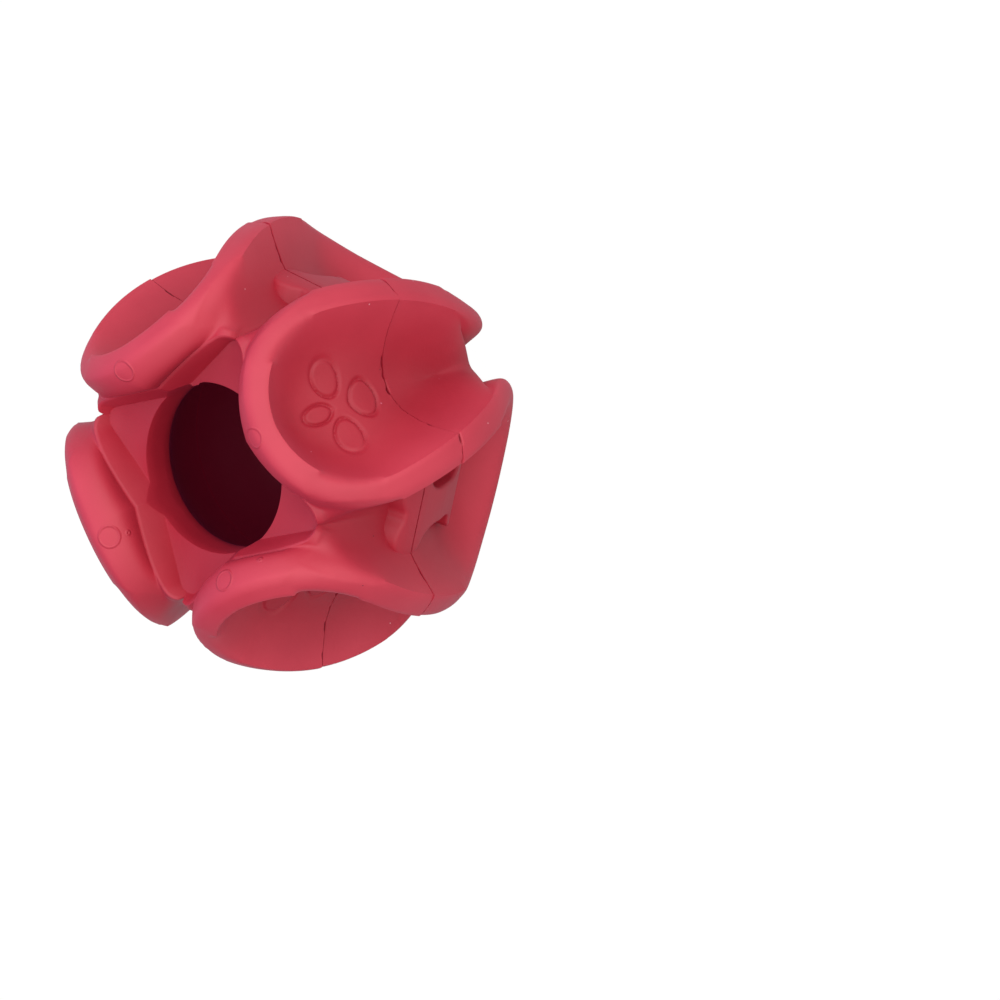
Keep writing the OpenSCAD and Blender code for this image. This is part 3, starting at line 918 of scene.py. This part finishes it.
camera = {
    "right": (0.768, -0.11686, -0.6297),
    "up": (-0.00979, 0.98095, -0.19399),
    "back": (0.64037, 0.15515, 0.75223),
    "distance": 1.6,
    "pixel": (284.46, 446.15),    # where the middle of the ball is in the photograph
    "scale": 227.82,              # pixels for the ball's radius
    "pixels": 1000,               # across the photograph
    "sensor": 36,
}
right, up, back = (Vector(camera[k]).normalized() for k in ("right", "up", "back"))

# soft light that comes mostly from beside the camera, and is cooler towards the left; the
# aims here and of the lamp are along the camera's right, up and back
studio = {
    "front": 2.05, "least": 0.03, "aim": (-0.04, 0.14, 1.0), "cool": (0.74, 0.80, 1.0),
    "left": 0.85, "leftAim": (-0.95, 0.16, -0.25), "leftColour": (0.80, 0.66, 1.0),
}
world = bpy.data.worlds.new("studio")
scene.world = world
world.use_nodes = True
tree = world.node_tree
tree.nodes.clear()
out = tree.nodes.new("ShaderNodeOutputWorld")
soft, white = tree.nodes.new("ShaderNodeBackground"), tree.nodes.new("ShaderNodeBackground")
sky = tree.nodes.new("ShaderNodeTexCoord").outputs["Generated"]


def worldSide(way):
    # 1 towards this side of the sky, -1 on the far side
    node = tree.nodes.new("ShaderNodeVectorMath")
    node.operation = "DOT_PRODUCT"
    link(tree, sky, node.inputs[0])
    node.inputs[1].default_value = way.normalized()
    return node.outputs["Value"]


def aimed(way):
    return right * way[0] + up * way[1] + back * way[2]


front = mathNode(tree, "MULTIPLY", worldSide(aimed(studio["aim"])), studio["front"])
link(tree, mathNode(tree, "MAXIMUM", front, studio["least"]), soft.inputs["Strength"])
leftness = mathNode(tree, "MULTIPLY", worldSide(-right), 1.0, clamp=True)
link(tree, mixColour(tree, leftness, (1, 1, 1), studio["cool"]), soft.inputs["Color"])
# a second, violet light from beside and a little behind the ball, for the sheen on its left
violet = tree.nodes.new("ShaderNodeBackground")
violet.inputs["Color"].default_value = (*studio["leftColour"], 1)
wide = mathNode(tree, "POWER", mathNode(tree, "MAXIMUM", worldSide(aimed(studio["leftAim"])), 0), 2)
link(tree, mathNode(tree, "MULTIPLY", wide, studio["left"]), violet.inputs["Strength"])
both = tree.nodes.new("ShaderNodeAddShader")
link(tree, soft.outputs[0], both.inputs[0])
link(tree, violet.outputs[0], both.inputs[1])
white.inputs["Color"].default_value = (1, 1, 1, 1)
mix = tree.nodes.new("ShaderNodeMixShader")
link(tree, tree.nodes.new("ShaderNodeLightPath").outputs["Is Camera Ray"], mix.inputs[0])
link(tree, both.outputs[0], mix.inputs[1])
link(tree, white.outputs[0], mix.inputs[2])
link(tree, mix.outputs[0], out.inputs[0])

lamps = {"key": {"way": (-0.25, 0.75, 0.62), "far": 0.9, "size": 0.55, "watts": 0.5}}
for name, lamp in lamps.items():
    data = bpy.data.lights.new(name, "AREA")
    data.shape = "DISK"
    data.size = lamp["size"]
    data.energy = lamp["watts"]
    holder = bpy.data.objects.new(name, data)
    scene.collection.objects.link(holder)
    way = aimed(lamp["way"]).normalized()
    holder.location = Vector((0, 0, ball["seamHeight"])) + way * lamp["far"]
    holder.rotation_mode = "QUATERNION"
    holder.rotation_quaternion = way.to_track_quat("Z", "Y")

camData = bpy.data.cameras.new("photoCamera")
camData.sensor_width = camera["sensor"]
perPixel = camera["sensor"] / camera["pixels"]
camData.lens = camera["scale"] * perPixel * camera["distance"] / ball["outer"]
camData.clip_start, camData.clip_end = 0.1, 20
camObject = bpy.data.objects.new("photoCamera", camData)
scene.collection.objects.link(camObject)
basis = Matrix((right, up, back)).transposed()
across, down = (p - camera["pixels"] / 2 for p in camera["pixel"])
ray = Vector((across * perPixel, -down * perPixel, -camData.lens)).normalized()
tilt = ray.rotation_difference(Vector((0, 0, -1))).to_matrix()
eye = Vector((0, 0, ball["seamHeight"])) + back * camera["distance"]
camObject.matrix_world = Matrix.Translation(eye) @ (basis @ tilt).to_4x4()
scene.camera = camObject
scene.view_settings.view_transform = "Standard"
print("stage ready")
